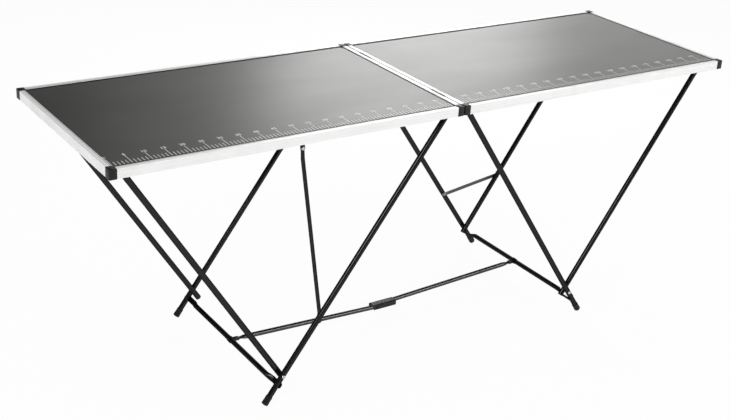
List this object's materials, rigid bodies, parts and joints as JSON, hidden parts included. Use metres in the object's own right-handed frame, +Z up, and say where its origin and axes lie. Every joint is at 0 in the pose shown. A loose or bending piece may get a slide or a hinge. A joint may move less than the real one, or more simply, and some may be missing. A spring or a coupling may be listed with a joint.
{
  "type": "wallpaper pasting table",
  "caption": "Folding wallpaper pasting table with two dark boards in aluminium rails, black tube legs, lapped middle bar and printed ruler along the front edge",
  "frame": {"origin": "on the floor under the middle of the table, at the fold line between the two halves", "axes": "+X along the table to the half without the ruler, +Y from the ruler's edge to the back edge, +Z up"},
  "size_m": [2.027, 0.602, 0.7879],
  "materials": {
    "board": "satin",
    "rail": "satin",
    "cap": "matte",
    "tube": "gloss",
    "foot": "matte",
    "steel": "satin",
    "stay": "satin"
  },
  "bodies": {
    "panel_left": {"left_board": "board", "left_rail_front": "rail", "left_rail_back": "rail", "left_rail_end": "rail", "left_rail_middle": "rail", "left_cap_middle_front": "cap", "left_cap_middle_back": "cap", "left_cap_end_front": "cap", "left_cap_end_back": "cap", "left_leg_saddle_front": "steel", "left_leg_saddle_back": "steel", "left_prop_saddle_front": "steel", "left_prop_saddle_back": "steel", "left_hinge_leaf_front": "steel", "left_hinge_leaf_back": "steel", "hinge_pin_front": "steel", "hinge_pin_back": "steel", "strut_bracket": "steel", "strut_bracket_pin": "steel"},
    "panel_right": {"right_board": "board", "right_rail_front": "rail", "right_rail_back": "rail", "right_rail_end": "rail", "right_rail_middle": "rail", "right_cap_middle_front": "cap", "right_cap_middle_back": "cap", "right_cap_end_front": "cap", "right_cap_end_back": "cap", "right_leg_saddle_front": "steel", "right_leg_saddle_back": "steel", "right_prop_saddle_front": "steel", "right_prop_saddle_back": "steel", "right_hinge_leaf_front": "steel", "right_hinge_leaf_back": "steel"},
    "legs_left": {"left_leg_frame": "tube", "left_crossbar": "tube", "left_foot_front": "foot", "left_foot_back": "foot", "left_leg_rivet_front": "steel", "left_leg_rivet_back": "steel"},
    "legs_right": {"right_leg_frame": "tube", "right_crossbar": "tube", "right_foot_front": "foot", "right_foot_back": "foot", "right_leg_rivet_front": "steel", "right_leg_rivet_back": "steel", "stay_rivet": "steel"},
    "props_left": {"left_prop_frame": "tube"},
    "props_right": {"right_prop_frame": "tube"},
    "bar_left": {"left_bar": "tube", "left_bar_strap": "tube", "left_bar_rivet": "steel", "centre_clip": "tube"},
    "bar_right": {"right_bar": "tube", "right_bar_strap": "tube", "right_bar_rivet": "steel"},
    "strut_link": {"strut_upper": "steel", "strut_elbow_pin": "steel"},
    "strut_rod": {"strut_lower": "tube"},
    "stay_arm": {"stay": "stay"}
  },
  "joints": [
    {"name": "panel_fold", "type": "hinge", "parent": "panel_left", "child": "panel_right", "pos_m": [0, 0, 0.7862], "axis": [0, 1, 0], "range_deg": [-180, 0]},
    {"name": "leg_fold_left", "type": "hinge", "parent": "panel_left", "child": "legs_left", "pos_m": [-0.027, 0, 0.77], "axis": [0, 1, 0], "range_deg": [0, 54.51]},
    {"name": "leg_fold_right", "type": "hinge", "parent": "panel_right", "child": "legs_right", "pos_m": [0.027, 0, 0.77], "axis": [0, 1, 0], "range_deg": [-54.51, 0]},
    {"name": "prop_fold_left", "type": "hinge", "parent": "panel_left", "child": "props_left", "pos_m": [-0.974, 0, 0.7715], "axis": [0, 1, 0], "range_deg": [-56.65, 0]},
    {"name": "prop_fold_right", "type": "hinge", "parent": "panel_right", "child": "props_right", "pos_m": [0.974, 0, 0.7715], "axis": [0, 1, 0], "range_deg": [0, 56.65]},
    {"name": "bar_fold_left", "type": "hinge", "parent": "legs_left", "child": "bar_left", "pos_m": [-0.53465, 0, 0.058], "axis": [0, 1, 0], "range_deg": [-54.51, 0]},
    {"name": "bar_fold_right", "type": "hinge", "parent": "legs_right", "child": "bar_right", "pos_m": [0.53465, 0, 0.058], "axis": [0, 1, 0], "range_deg": [0, 54.51]},
    {"name": "strut_fold", "type": "hinge", "parent": "panel_left", "child": "strut_link", "pos_m": [-0.358, 0, 0.77], "axis": [0, 1, 0], "range_deg": [-80.84, 0]},
    {"name": "strut_elbow_fold", "type": "hinge", "parent": "strut_link", "child": "strut_rod", "pos_m": [-0.33411, 0, 0.62191], "axis": [0, 1, 0], "range_deg": [0, 180]},
    {"name": "stay_fold", "type": "hinge", "parent": "legs_right", "child": "stay_arm", "pos_m": [0.41914, 0, 0.22], "axis": [0, 1, 0], "range_deg": [0, 62.58]}
  ],
  "couplings": [
    {"joint": "leg_fold_right", "follows": "leg_fold_left", "ratio": -1},
    {"joint": "prop_fold_left", "follows": "leg_fold_left", "ratio": -1.0393},
    {"joint": "prop_fold_right", "follows": "leg_fold_left", "ratio": 1.0393},
    {"joint": "bar_fold_left", "follows": "leg_fold_left", "ratio": -1},
    {"joint": "bar_fold_right", "follows": "leg_fold_left", "ratio": 1},
    {"joint": "strut_fold", "follows": "leg_fold_left", "ratio": -1.4829},
    {"joint": "strut_elbow_fold", "follows": "leg_fold_left", "ratio": 3.302},
    {"joint": "stay_fold", "follows": "leg_fold_left", "ratio": 1.148}
  ]
}
